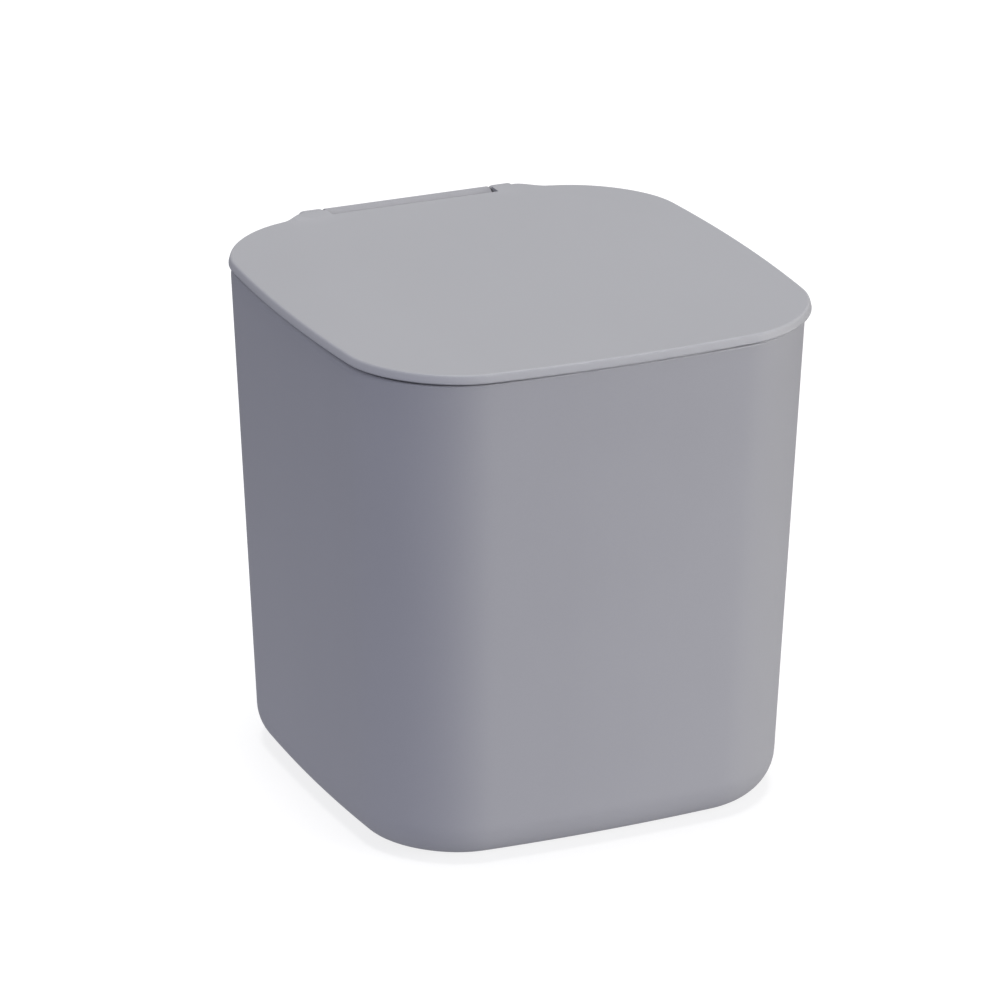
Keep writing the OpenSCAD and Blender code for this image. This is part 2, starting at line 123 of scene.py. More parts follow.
def lid_outline():
    """The lid seen from above, with its hinge tab."""
    base = squircle(57.5, -60.2, 58.0, 21.7, LID_BOW)
    A, B, yc = 57.5 - LID_BOW, 59.1 - LID_BOW, -1.1
    back = lambda x: B * (1 + LID_BOW / B * (1 - (x / A) ** 2)) + yc
    x1, x0, top = 34.3, 27.15, 60.9
    xs = np.linspace(x1, x0 + 0.02, 26)
    flank = [(x, float(back(x) + (top - back(x)) * smooth((x1 - x) / (x1 - x0)))) for x in xs]
    keep_r = [tuple(p) for p in base if p[0] > x1 and p[1] > 0]
    keep_l = [tuple(p) for p in base if p[0] < -x1 and p[1] > 0]
    rest = [tuple(p) for p in base if p[1] <= 0]
    keep_r.sort(key=lambda p: math.atan2(p[1], p[0]))
    keep_l.sort(key=lambda p: math.atan2(p[1], p[0]))
    rest.sort(key=lambda p: math.atan2(p[1], p[0]) % (2 * math.pi))
    mid = [(x, top) for x in np.linspace(flank[-1][0], -flank[-1][0], 24)]
    left = [(-x, y) for x, y in reversed(flank)][1:]
    return np.array(keep_r + flank[:-1] + mid + left + keep_l + rest)


# ------------------------------------------------------------------ meshes
def new_object(name, verts, faces):
    me = bpy.data.meshes.new(name)
    me.from_pydata([(float(v[0]) * MM, (float(v[1]) - MID_Y) * MM, float(v[2]) * MM) for v in verts], [], faces)
    me.validate(verbose=False)
    o = bpy.data.objects.new(name, me)
    bpy.context.scene.collection.objects.link(o)
    bm = bmesh.new()
    bm.from_mesh(me)
    bmesh.ops.remove_doubles(bm, verts=bm.verts, dist=2e-7)
    bmesh.ops.recalc_face_normals(bm, faces=bm.faces)
    bm.to_mesh(me)
    bm.free()
    return o


def loft(name, rings, loop=False):
    """rings of (z, outline), z one number or one a point. Ends are closed by flat faces unless the rings come back to the first."""
    n, m = len(rings[0][1]), len(rings)
    verts = [(x, y, h) for z, r in rings for (x, y), h in zip(r, np.broadcast_to(z, len(r)))]
    faces = []
    for j in range(m if loop else m - 1):
        for i in range(n):
            a, b = j * n + i, j * n + (i + 1) % n
            c, d = ((j + 1) % m) * n + (i + 1) % n, ((j + 1) % m) * n + i
            faces.append((a, b, c, d))
    if not loop:
        faces += [tuple(reversed(range(n))), tuple(range((m - 1) * n, m * n))]
    return new_object(name, verts, faces)


def lathe(name, profile, centre, axis="x", n=96):
    """profile of (r, h) from one end of the axis to the other, both ends at r = 0."""
    verts, faces, idx = [], [], []
    for r, h in profile:
        if r < 1e-6:
            idx.append([len(verts)])
            verts.append((0, 0, h))
        else:
            idx.append(list(range(len(verts), len(verts) + n)))
            verts += [(r * math.cos(2 * math.pi * k / n), r * math.sin(2 * math.pi * k / n), h) for k in range(n)]
    for a, b in zip(idx, idx[1:]):
        for k in range(n):
            k2 = (k + 1) % n
            if len(a) == 1 and len(b) == 1:
                continue
            if len(a) == 1:
                faces.append((a[0], b[k2], b[k]))
            elif len(b) == 1:
                faces.append((a[k], a[k2], b[0]))
            else:
                faces.append((a[k], a[k2], b[k2], b[k]))
    out = []
    for x, y, z in verts:
        if axis == "x":
            out.append((z + centre[0], x + centre[1], y + centre[2]))
        elif axis == "y":
            out.append((y + centre[0], z + centre[1], x + centre[2]))
        else:
            out.append((x + centre[0], y + centre[1], z + centre[2]))
    return new_object(name, out, faces)


def rod(name, r, h0, h1, centre, axis="x", edge=0.0, n=96, seg=4):
    prof = [(0, h0)]
    if edge > 0:
        prof += [(r - edge + edge * math.sin(math.pi / 2 * k / seg), h0 + edge - edge * math.cos(math.pi / 2 * k / seg)) for k in range(seg + 1)]
        prof += [(r - edge + edge * math.cos(math.pi / 2 * k / seg), h1 - edge + edge * math.sin(math.pi / 2 * k / seg)) for k in range(seg + 1)]
    else:
        prof += [(r, h0), (r, h1)]
    prof += [(0, h1)]
    return lathe(name, prof, centre, axis, n)


def prism(name, poly, a0, a1, axis="x", edge=0.0, seg=2):
    """A polygon (in y, z for axis x; x, z for axis y; x, y for axis z) drawn from a0 to a1, edges rounded."""
    n = len(poly)
    put = {"x": lambda p, a: (a, p[0], p[1]), "y": lambda p, a: (p[0], a, p[1]), "z": lambda p, a: (p[0], p[1], a)}[axis]
    verts = [put(p, a0) for p in poly] + [put(p, a1) for p in poly]
    faces = [tuple(range(n)), tuple(range(n, 2 * n))] + [(i, (i + 1) % n, n + (i + 1) % n, n + i) for i in range(n)]
    o = new_object(name, verts, faces)
    if edge > 0:
        bm = bmesh.new()
        bm.from_mesh(o.data)
        sharp = [e for e in bm.edges if len(e.link_faces) == 2 and e.calc_face_angle(0) > math.radians(25)]
        bmesh.ops.bevel(bm, geom=sharp, offset=edge * MM, segments=seg, profile=0.5, affect="EDGES", clamp_overlap=True)
        bm.to_mesh(o.data)
        bm.free()
    return o


def block(name, x0, x1, y0, y1, z0, z1, edge=0.0, seg=2):
    return prism(name, [(x0, y0), (x1, y0), (x1, y1), (x0, y1)], z0, z1, "z", edge, seg)


def take_mesh(o):
    dg = bpy.context.evaluated_depsgraph_get()
    me = bpy.data.meshes.new_from_object(o.evaluated_get(dg))
    old = o.data
    o.modifiers.clear()
    o.data = me
    bpy.data.meshes.remove(old)


def boolean(o, others, how):
    """how is UNION or DIFFERENCE. The other solids are used up."""
    for b in others if isinstance(others, (list, tuple)) else [others]:
        m = o.modifiers.new("b", "BOOLEAN")
        m.operation, m.solver, m.object = how, "MANIFOLD", b
        take_mesh(o)
        me = b.data
        bpy.data.objects.remove(b)
        bpy.data.meshes.remove(me)
    return o


def clean(o, angle=32, weighted=True, dist=0.004):
    bm = bmesh.new()
    bm.from_mesh(o.data)
    bmesh.ops.remove_doubles(bm, verts=bm.verts, dist=dist * MM)
    bmesh.ops.dissolve_degenerate(bm, dist=dist * MM, edges=bm.edges)
    bmesh.ops.recalc_face_normals(bm, faces=bm.faces)
    bm.to_mesh(o.data)
    bm.free()
    o.data.shade_smooth()
    o.data.set_sharp_from_angle(angle=math.radians(angle))
    for f in o.data.polygons:                   # level caps stay dead flat
        if abs(f.normal.z) > 0.99999:
            f.use_smooth = False
    if weighted:
        m = o.modifiers.new("normals", "WEIGHTED_NORMAL")
        m.keep_sharp, m.weight = True, 60
    return o


def grid_cap(o, z, step=5.0):
    """Meshes the level cap at height z again with even triangles."""
    bm = bmesh.new()
    bm.from_mesh(o.data)
    bm.normal_update()
    cap = [f for f in bm.faces if abs(f.normal.z) > 0.9999 and max(abs(v.co.z - z * MM) for v in f.verts) < 1e-6]
    own = set(cap)
    rim = [e for e in bm.edges if sum(f in own for f in e.link_faces) == 1]
    vs = list({v for e in rim for v in e.verts})
    at = {v: i for i, v in enumerate(vs)}
    pts = [Vector((v.co.x / MM, v.co.y / MM)) for v in vs]
    edges = [(at[e.verts[0]], at[e.verts[1]]) for e in rim]
    ring = np.array([(p.x, p.y) for p in pts])
    lo, hi = ring.min(0), ring.max(0)
    mids = np.array([(np.array(pts[a]) + np.array(pts[b])) / 2 for a, b in edges])
    near = np.concatenate([ring, mids])
    for i, y in enumerate(np.arange(lo[1] + 1, hi[1], step * 0.866)):
        for x in np.arange(lo[0] + 1 + (i % 2) * step / 2, hi[0], step):
            if np.min(np.hypot(near[:, 0] - x, near[:, 1] - y)) > 1.6:
                pts.append(Vector((float(x), float(y))))
    out, _, tris, src, _, _ = delaunay_2d_cdt(pts, edges, [], 1, 1e-5)
    new = [bm.verts.new((p.x * MM, p.y * MM, z * MM)) if not src[i] or src[i][0] >= len(vs) else vs[src[i][0]]
           for i, p in enumerate(out)]
    bmesh.ops.delete(bm, geom=cap, context="FACES_KEEP_BOUNDARY")
    for t in tris:
        bm.faces.new([new[i] for i in t])
    bmesh.ops.delete(bm, geom=[v for v in bm.verts if not v.link_faces], context="VERTS")
    bmesh.ops.recalc_face_normals(bm, faces=bm.faces)
    bm.to_mesh(o.data)
    bm.free()


def tube(name, path, r, k=14, up=(1, 0.001, 0.002), ends=True):
    """A round wire along a path, with rounded ends."""
    p = np.array(path, float)
    t = np.gradient(p, axis=0)
    t /= np.linalg.norm(t, axis=1)[:, None]
    verts, rings = [], []
    stations = [(i, 0.0, 1.0) for i in range(len(p))]
    if ends:
        cap = [(math.sin(a), math.cos(a)) for a in np.radians([80, 55, 30])]
        stations = [(0, -s, c) for s, c in cap] + stations + [(len(p) - 1, s, c) for s, c in reversed(cap)]
    for i, along, f in stations:
        u = np.cross(up, t[i])
        u /= np.linalg.norm(u)
        v = np.cross(t[i], u)
        c = p[i] + t[i] * along * r
        rings.append(range(len(verts), len(verts) + k))
        verts += [tuple(c + r * f * (math.cos(2 * math.pi * j / k) * u + math.sin(2 * math.pi * j / k) * v)) for j in range(k)]
    faces = []
    for a, b in zip(rings, rings[1:]):
        faces += [(a[j], a[(j + 1) % k], b[(j + 1) % k], b[j]) for j in range(k)]
    faces += [tuple(reversed(rings[0])), tuple(rings[-1])]
    return new_object(name, verts, faces)


def arc(r, n, a0=0.0, a1=90.0):
    return [math.radians(a0 + (a1 - a0) * i / n) for i in range(n + 1)]


# ------------------------------------------------------------------ materials
def node_tree(name):
    m = bpy.data.materials.new(name)
    m.use_nodes = True
    t = m.node_tree
    t.nodes.clear()
    out = t.nodes.new("ShaderNodeOutputMaterial")
    b = t.nodes.new("ShaderNodeBsdfPrincipled")
    t.links.new(b.outputs[0], out.inputs[0])
    return m, t, b


class Graph:
    """Short ways to add nodes."""

    def __init__(self, t):
        self.t = t
        self.co = t.nodes.new("ShaderNodeTexCoord").outputs["Object"]

    def set(self, sock, v):
        if hasattr(v, "is_linked") or hasattr(v, "links"):
            self.t.links.new(v, sock)
        else:
            sock.default_value = v

    def mapping(self, scale=(1, 1, 1), rot=(0, 0, 0), loc=(0, 0, 0)):
        n = self.t.nodes.new("ShaderNodeMapping")
        n.inputs["Scale"].default_value = scale
        n.inputs["Rotation"].default_value = rot
        n.inputs["Location"].default_value = loc
        self.t.links.new(self.co, n.inputs["Vector"])
        return n.outputs[0]

    def noise(self, scale, detail=2.0, rough=0.5, vec=None, distortion=0.0):
        n = self.t.nodes.new("ShaderNodeTexNoise")
        n.inputs["Scale"].default_value = scale
        n.inputs["Detail"].default_value = detail
        n.inputs["Roughness"].default_value = rough
        n.inputs["Distortion"].default_value = distortion
        self.t.links.new(vec if vec is not None else self.co, n.inputs["Vector"])
        return n.outputs["Fac"]

    def voronoi(self, scale, vec=None, feature="F1", randomness=1.0):
        n = self.t.nodes.new("ShaderNodeTexVoronoi")
        n.feature = feature
        n.inputs["Scale"].default_value = scale
        n.inputs["Randomness"].default_value = randomness
        self.t.links.new(vec if vec is not None else self.co, n.inputs["Vector"])
        return n.outputs["Distance"]

    def ramp(self, fac, a, b, lo=0.0, hi=1.0):
        n = self.t.nodes.new("ShaderNodeMapRange")
        n.inputs["From Min"].default_value = a
        n.inputs["From Max"].default_value = b
        n.inputs["To Min"].default_value = lo
        n.inputs["To Max"].default_value = hi
        n.clamp = True
        self.t.links.new(fac, n.inputs["Value"])
        return n.outputs["Result"]

    def math(self, op, a, b=0.0, c=0.0):
        n = self.t.nodes.new("ShaderNodeMath")
        n.operation = op
        for s, v in zip(n.inputs, (a, b, c)):
            self.set(s, v)
        return n.outputs[0]

    def mix(self, fac, a, b):
        n = self.t.nodes.new("ShaderNodeMix")
        n.data_type = "RGBA"
        self.set(n.inputs["Factor"], fac)
        self.set(n.inputs["A"], a)
        self.set(n.inputs["B"], b)
        return n.outputs["Result"]

    def scale_colour(self, colour, fac):
        """colour times fac, which is a socket."""
        n = self.t.nodes.new("ShaderNodeVectorMath")
        n.operation = "SCALE"
        if hasattr(colour, "links"):
            self.t.links.new(colour, n.inputs[0])
        else:
            n.inputs[0].default_value = colour[:3]
        self.set(n.inputs["Scale"], fac)
        return n.outputs[0]

    def bump(self, height, strength, distance, normal=None):
        n = self.t.nodes.new("ShaderNodeBump")
        n.inputs["Strength"].default_value = strength
        n.inputs["Distance"].default_value = distance
        self.t.links.new(height, n.inputs["Height"])
        if normal is not None:
            self.t.links.new(normal, n.inputs["Normal"])
        return n.outputs[0]

    def pointiness(self):
        return self.t.nodes.new("ShaderNodeNewGeometry").outputs["Pointiness"]

    def xyz(self):
        n = self.t.nodes.new("ShaderNodeSeparateXYZ")
        self.t.links.new(self.co, n.inputs[0])
        return n.outputs


def moulded(name, colour, rough, grain=2600.0, grain_h=0.000006, peel=220.0, peel_h=0.00001,
            spread=0.07, streak=(1, 1, 1), streak_amount=0.012, specular=0.5, scuff=0.35):
    """Injection-moulded plastic: spark-textured grain, a little orange peel, faint flow streaks, worn edges."""
    m, t, b = node_tree(name)
    g = Graph(t)
    cloud = g.noise(18.0, 3.0, 0.55)
    flow = g.noise(26.0, 2.0, 0.5, g.mapping(scale=streak), 0.6)
    speck = g.noise(grain, 2.0, 0.6)
    tone = g.math("ADD", g.ramp(cloud, 0.3, 0.7, 1 - streak_amount, 1 + streak_amount),
                  g.ramp(flow, 0.3, 0.7, -streak_amount, streak_amount))
    tone = g.math("ADD", tone, g.ramp(speck, 0.3, 0.7, -0.012, 0.012))
    edge = g.ramp(g.pointiness(), 0.505, 0.56, 0.0, 1.0)
    tone = g.math("ADD", tone, g.math("MULTIPLY", edge, 0.035))
    t.links.new(g.scale_colour(colour, tone), b.inputs["Base Color"])
    # a few hairline scuffs that only change the gloss
    hair = g.noise(90.0, 4.0, 0.7, g.mapping(scale=(1.0, 9.0, 3.0), rot=(0.2, 0.1, 0.6)), 0.4)
    hair = g.ramp(hair, 0.60, 0.72, 0.0, 1.0)
    r = g.ramp(cloud, 0.3, 0.7, rough - spread * 0.5, rough + spread * 0.5)
    r = g.math("ADD", r, g.ramp(speck, 0.3, 0.7, -spread * 0.5, spread * 0.5))
    r = g.math("SUBTRACT", r, g.math("MULTIPLY", edge, 0.10))
    r = g.math("SUBTRACT", r, g.math("MULTIPLY", hair, 0.10 * scuff))
    t.links.new(r, b.inputs["Roughness"])
    n1 = g.bump(g.noise(peel, 2.0, 0.5), 0.30, peel_h)
    n2 = g.bump(g.noise(grain, 3.0, 0.6), 0.55, grain_h, n1)
    t.links.new(n2, b.inputs["Normal"])
    b.inputs["IOR"].default_value = 1.49
    b.inputs["Specular IOR Level"].default_value = specular
    return m


def waxy(name, colour, rough, sub=0.0):
    """Acetal or soft rubber: fine, faintly cloudy."""
    m, t, b = node_tree(name)
    g = Graph(t)
    cloud = g.noise(140.0, 3.0, 0.55)
    speck = g.noise(5200.0, 2.0, 0.6)
    tone = g.math("ADD", g.ramp(cloud, 0.3, 0.7, 0.96, 1.04), g.ramp(speck, 0.3, 0.7, -0.02, 0.02))
    t.links.new(g.scale_colour(colour, tone), b.inputs["Base Color"])
    r = g.math("ADD", g.ramp(cloud, 0.3, 0.7, rough - 0.05, rough + 0.05), g.ramp(speck, 0.3, 0.7, -0.03, 0.03))
    t.links.new(r, b.inputs["Roughness"])
    n1 = g.bump(g.noise(900.0, 2.0, 0.5), 0.25, 0.000008)
    t.links.new(g.bump(speck, 0.5, 0.000006, n1), b.inputs["Normal"])
    b.inputs["IOR"].default_value = 1.48
    if sub:
        b.inputs["Subsurface Weight"].default_value = sub
        b.inputs["Subsurface Radius"].default_value = (1.0, 0.9, 0.8)
        b.inputs["Subsurface Scale"].default_value = 0.0008
    return m


def drawn_steel(name, colour, rough, along=(1, 1, 1), amount=1.0):
    """Plated or drawn steel with fine marks along one direction and slight tarnish."""
    m, t, b = node_tree(name)
    g = Graph(t)
    lines = g.noise(700.0, 3.0, 0.65, g.mapping(scale=along))
    blotch = g.noise(260.0, 3.0, 0.5)
    tone = g.math("ADD", g.ramp(lines, 0.3, 0.7, 0.93, 1.05), g.ramp(blotch, 0.45, 0.75, 0.0, -0.10))
    t.links.new(g.scale_colour(colour, tone), b.inputs["Base Color"])
    r = g.math("ADD", g.ramp(lines, 0.3, 0.7, rough - 0.07, rough + 0.08), g.ramp(blotch, 0.5, 0.75, 0.0, 0.12))
    t.links.new(r, b.inputs["Roughness"])
    t.links.new(g.bump(lines, 0.35 * amount, 0.00001), b.inputs["Normal"])
    b.inputs["Metallic"].default_value = 1.0
    return m


GREY = (0.335, 0.335, 0.352)
M_BODY = moulded("body_plastic", GREY, 0.55, streak=(1.0, 1.0, 0.12))
M_LID = moulded("lid_plastic", (0.340, 0.342, 0.355), 0.60, streak=(0.7, 0.25, 1.0))
# the frame's grey is set darker than the lid's as painted shade: it stands for the shadow on the hinge barrel sitting
# in the groove under the lid's slot
M_FRAME_PAINTED_SHADE = moulded("frame_plastic", (0.315, 0.315, 0.330), 0.50, streak=(0.5, 0.5, 1.0))
M_WHITE = waxy("latch_white", (0.72, 0.72, 0.67), 0.38, 0.12)
M_DARK = waxy("latch_grey", (0.030, 0.031, 0.034), 0.42)
M_STEEL = drawn_steel("steel", (0.62, 0.63, 0.65), 0.26, along=(0.06, 1.0, 1.0))
M_SPRING = drawn_steel("spring_steel", (0.47, 0.47, 0.47), 0.32, along=(1.0, 1.0, 1.0))
M_CLIP = drawn_steel("clip_steel", (0.60, 0.60, 0.61), 0.30, along=(1.0, 1.0, 0.05))
M_PAD = waxy("pad_rubber", (0.020, 0.020, 0.022), 0.78)


def dress(o, mat):
    o.data.materials.clear()
    o.data.materials.append(mat)


# ------------------------------------------------------------------ bucket
def make_bucket():
    zb, R, H, zf, Ri, Hi = 0.5, 7.2, 8.8, 2.7, 5.2, 6.8
    rings = []
    for w in arc(R, 14):
        z = zb + H * (1 - math.cos(w))
        rings.append((z, body_at(z, R * (1 - math.sin(w)))))
    for z in np.linspace(zb + H, RIM_TOP - 1.7, 20)[1:]:
        rings.append((z, body_at(z, 0)))
    rim = body_at(RIM_TOP, 0)
    soft = (0.3 + 0.7 * smooth((rim[:, 1] + 50) / 16))[:, None]   # crisper along the front
    for w in arc(1.7, 9):                       # the lip's rounded outer edge
        z = RIM_TOP - 1.7 * soft[:, 0] * (1 - math.sin(w))
        lean = (body_at(RIM_TOP - 1.7, 0) - rim) * soft * (1 - math.sin(w))
        rings.append((z, rim + lean + (body_at(RIM_TOP, 1.15) - rim) * soft * (1 - math.cos(w))))
    rings += [(RIM_TOP, body_at(RIM_TOP, LIP_T - 0.12)), (RIM_TOP - 0.1, body_at(RIM_TOP, LIP_T - 0.01)),
              (RIM_TOP - 0.4, body_at(RIM_TOP - 0.4, LIP_T)), (WALL_TOP, body_at(WALL_TOP, LIP_T)),
              (WALL_TOP, body_at(WALL_TOP, 1.9)), (WALL_TOP - 0.1, body_at(WALL_TOP - 0.1, 2.0))]
    for z in np.linspace(WALL_TOP - 0.5, zf + Hi, 12):
        rings.append((z, body_at(z, 2.0)))
    for w in reversed(arc(Ri, 12)[:-1]):
        z = zf + Hi * (1 - math.cos(w))
        rings.append((z, body_at(z, 2.0 + Ri * (1 - math.sin(w)))))
    o = loft("bucket_body", rings)
    cuts = [rod("c", 5.1, -1, 1.6, (x, y, 0), "z", 0, 72) for x in (-31, 31) for y in (-31, 31)]
    # sprue mark under the base: a shallow round dish with a small nib left in it
    cuts.append(lathe("c", [(0, -0.5), (5.2, -0.5), (5.2, 0.5), (4.7, 0.86), (1.5, 0.9), (1.3, 0.62), (0.9, 0.55), (0, 0.55)],
                      (0, 0, 0), "z", 64))
    # notch for the hinge barrel's web, and the pockets that the rim frame's clips snap into
    cuts.append(block("c", -BARREL_X - 0.3, BARREL_X + 0.3, 53, 60, WALL_TOP + 0.02, RIM_TOP + 1))
    for s in (-1, 1):
        for y in (-18, 18):
            cuts.append(block("c", min(s * 53.4, s * 55.3), max(s * 53.4, s * 55.3), y - 4.3, y + 4.3, 106.8, 109.4))
        for x in (-30, 30):
            cuts.append(block("c", x - 4.3, x + 4.3, min(s * 53.4, s * 55.1), max(s * 53.4, s * 55.1), 106.8, 109.4))
    boolean(o, cuts, "DIFFERENCE")
    clean(o)
    dress(o, M_BODY)
    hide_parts("bucket")
    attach(o, "bin")
    return o


# ------------------------------------------------------------------ rim frame
def make_frame():
    rings = [(105.6, body_at(105.6, 2.15)), (105.4, body_at(105.4, 2.35)), (105.4, body_at(105.4, 3.7)),
             (105.6, body_at(105.6, 3.9)), (109.0, body_at(109.0, 3.9)), (113.0, body_at(113.0, 3.9))]
    for k in range(1, 6):                       # the skirt flares in to the mouth
        f = smooth(k / 5)
        rings.append((113.0 + 1.7 * k / 5, body_at(113.0 + 1.7 * k / 5, 3.9 + 1.6 * f)))
    for w in arc(0.6, 6):
        rings.append((RIM_TOP - 0.6 + 0.6 * math.sin(w), body_at(RIM_TOP, 5.5 - 0.6 * (1 - math.cos(w)))))
    e = LIP_T + 0.15
    rings += [(RIM_TOP, body_at(RIM_TOP, e + 0.22)), (RIM_TOP - 0.07, body_at(RIM_TOP, e + 0.07)),
              (RIM_TOP - 0.22, body_at(RIM_TOP, e)), (WALL_TOP, body_at(WALL_TOP, e)), (WALL_TOP, body_at(WALL_TOP, 2.15))]
    o = loft("rim_frame_ring", rings, loop=True)
    add = [block("a", -15, 15, -54, LY + 6.8, SHELF_LO, SHELF_HI, 0.35, 3)]
    for s in (-1, 1):
        add.append(prism("a", [(-54, 105.6), (-52.7, 105.6), (LY + 5.8, SHELF_LO + 0.3), (-54, SHELF_LO + 0.3)],
                         s * 14.2 - 0.8, s * 14.2 + 0.8, "x", 0.15, 2))
    for s in (-1, 1):                           # clips that snap into the bucket's wall
        for y in (-18, 18):
            add.append(block("a", min(s * 52.9, s * 55), max(s * 52.9, s * 55), y - 4, y + 4, 107.2, 109, 0.12))
        for x in (-30, 30):
            add.append(block("a", x - 4, x + 4, min(s * 52.9, s * 54.8), max(s * 52.9, s * 54.8), 107.2, 109, 0.12))
    web = fillet([(53.5, WALL_TOP + 0.04), (57.7, WALL_TOP + 0.04), (57.7, 109.6), (58.8, 109.4), (60.4, 110.6), (HY + 2.2, HZ - 2.5),
                  (HY, HZ), (HY - 2.4, RIM_TOP - 0.04), (53.5, RIM_TOP - 0.04)],
                 [0, 0.5, 0.5, 0.5, 0.8, 0, 0, 0, 0], 4)
    add.append(prism("a", web, -BARREL_X + 0.05, BARREL_X - 0.05, "x", 0.12, 2))
    add.append(rod("a", BARREL_R, -BARREL_X, BARREL_X, (0, HY, HZ), "x", 0.25, 128, 4))
    boolean(o, add, "UNION")
    cut = [rod("c", PIN_R + 0.05, -BARREL_X - 1, BARREL_X + 1, (0, HY, HZ), "x", 0, 64),
           rod("c", 2.75, -5.4, 5.4, (0, HY, HZ), "x", 0, 72),
           block("c", 3.5, 4.9, HY - 6, HY - 1.7, HZ - 0.5, HZ + 2.1),
           block("c", -4.9, -3.5, HY + 1.1, HY + 2.6, HZ - 4.5, HZ),
           block("c", -6.8, 6.8, LY - 3.9, LY + 3.9, SHELF_LO - 1, SHELF_HI + 1),
           rod("c", 1.0, SHELF_LO - 0.1, SHELF_LO + 2.3, (-10.6, LY, 0), "z", 0, 40),
           rod("c", 1.0, SHELF_LO - 0.1, SHELF_LO + 2.3, (10.6, LY, 0), "z", 0, 40)]
    boolean(o, cut, "DIFFERENCE")
    clean(o)
    # the rim frame and its hinge barrel take the darkened grey, painted shade for the groove under the lid
    dress(o, M_FRAME_PAINTED_SHADE)
    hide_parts("rim_frame")
    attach(o, "bin")
    return o


# ------------------------------------------------------------------ lid
def make_lid():
    line = lid_outline()
    rings = []
    for w in arc(0.3, 4):                       # lower edge
        rings.append((LID_LOW + 0.3 * (1 - math.cos(w)), inset(line, 0.3 * (1 - math.sin(w)))))
    for z, d in ((0.35, 0.005), (0.6, 0.055), (0.9, 0.13), (1.2, 0.21), (1.48, 0.29), (1.68, 0.36), (1.82, 0.43), (1.93, 0.51),
                 (2.01, 0.6), (2.065, 0.7), (2.093, 0.8)):    # the edge leans in and rounds over
        rings.append((LID_LOW + z, inset(line, d)))
    rings.append((LID_TOP, inset(line, 0.9)))
    o = loft("lid_plate", rings)
    relief = loft("c", [(LID_LOW - 1, body_at(110, 10)), (LID_LOW + 0.7, body_at(110, 10.5))])
    boolean(o, relief, "DIFFERENCE")
    add = []
    for s in (-1, 1):
        x0, x1 = BARREL_X + 0.35, BARREL_X + 0.35 + EAR_W
        add.append(rod("a", EAR_R, min(s * x0, s * x1), max(s * x0, s * x1), (0, HY, HZ), "x", 1.1, 128, 8))
        web = fillet([(56.8, LID_LOW + 0.4), (57.6, LID_LOW - 0.1), (HY - 2.5, HZ - 0.6), (HY, HZ),
                      (HY, HZ + EAR_R - 0.35), (58.3, LID_TOP - 0.6), (56.8, LID_TOP - 0.6)], [0, 0.5, 0, 0, 0, 0, 0], 4)
        add.append(prism("a", web, min(s * (x0 + 0.06), s * (x1 - 0.06)), max(s * (x0 + 0.06), s * (x1 - 0.06)), "x", 0.1, 2))
    skirt = loft("a", [(LID_LOW - 2.2, body_at(RIM_TOP, 6.35)), (LID_LOW - 2.4, body_at(RIM_TOP, 6.6)), (LID_LOW - 2.4, body_at(RIM_TOP, 7.1)),
                       (LID_LOW - 2.2, body_at(RIM_TOP, 7.3)), (LID_LOW + 0.3, body_at(RIM_TOP, 7.6)), (LID_LOW + 0.3, body_at(RIM_TOP, 6.2))], loop=True)
    boolean(skirt, block("c", -17, 17, -60, -30, LID_LOW - 4, LID_LOW + 4), "DIFFERENCE")
    add.append(skirt)
    for x in (-30, -10, 10, 30):
        add.append(block("a", x - 0.6, x + 0.6, -34, 44, LID_LOW - 0.9, LID_LOW + 0.9, 0.15))
    for y in (-34, 5, 44):
        add.append(block("a", -42, 42, y - 0.6, y + 0.6, LID_LOW - 0.9, LID_LOW + 0.9, 0.15))
    add.append(block("a", -7.2, 7.2, LY - 5.6, LY + 5.6, LID_LOW - 1.1, LID_LOW + 0.9, 0.25, 3))
    boolean(o, add, "UNION")
    cut = [rod("c", PIN_R + 0.05, -40, 40, (0, HY, HZ), "x", 0, 64),
           block("c", -BARREL_X - 0.35, BARREL_X + 0.35, 56.4, 70, 110, 125, 0.3, 4),   # room for the barrel
           block("c", -6.05, 6.05, LY - 4.45, LY + 4.45, LID_LOW - 3, LID_LOW + 0.7)]
    boolean(o, cut, "DIFFERENCE")
    grid_cap(o, LID_TOP)
    clean(o)
    dress(o, M_LID)
    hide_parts("lid")
    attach(o, "lid")
    return o


# ------------------------------------------------------------------ springs
def make_springs():
    R, turns, last = 2.05, 6, 360 * 6 + 110
    n = 6 * 40 + 12
    at = lambda w, x: (x, HY + R * math.cos(math.radians(w)), HZ + R * math.sin(math.radians(w)))
    helix = [at(last * i / n, -4.2 + 8.4 * i / n) for i in range(n + 1)]
    start = [(-4.2, HY + R, HZ - 3.1 + 3.1 * k / 6) for k in range(6)]
    e = np.array(helix[-1])
    d = np.array([0, -math.sin(math.radians(110)), math.cos(math.radians(110))])
    leg = [tuple(e + d * 4.72 * k / 8) for k in range(1, 9)]
    o = tube("torsion_spring_wire", start + helix + leg, 0.33, 14)
    clean(o, 50, False, 0.0005)
    dress(o, M_SPRING)
    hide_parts("torsion_spring")
    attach(o, "pin")
    R, r, turns = 1.5, 0.21, 8
    z0, z1, n = 92.5 + 0.23, 100 - 0.23, 8 * 40
    path = []
    for i in range(n + 1):
        w = 2 * math.pi * turns * i / n
        q = n / turns
        f = 0.06 * i / q if i < q else 1 - 0.06 * (n - i) / q if i > n - q else 0.06 + 0.88 * (i - q) / (n - 2 * q)
        path.append((R * math.cos(w), LY + R * math.sin(w), z0 + (z1 - z0) * f))
    o = tube("latch_spring_wire", path, r, 12, up=(0, 0.001, 1))
    clean(o, 50, False, 0.0005)
    dress(o, M_SPRING)
    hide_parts("latch_spring")
    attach(o, "bin")


make_bucket()
make_frame()
make_lid()
make_springs()

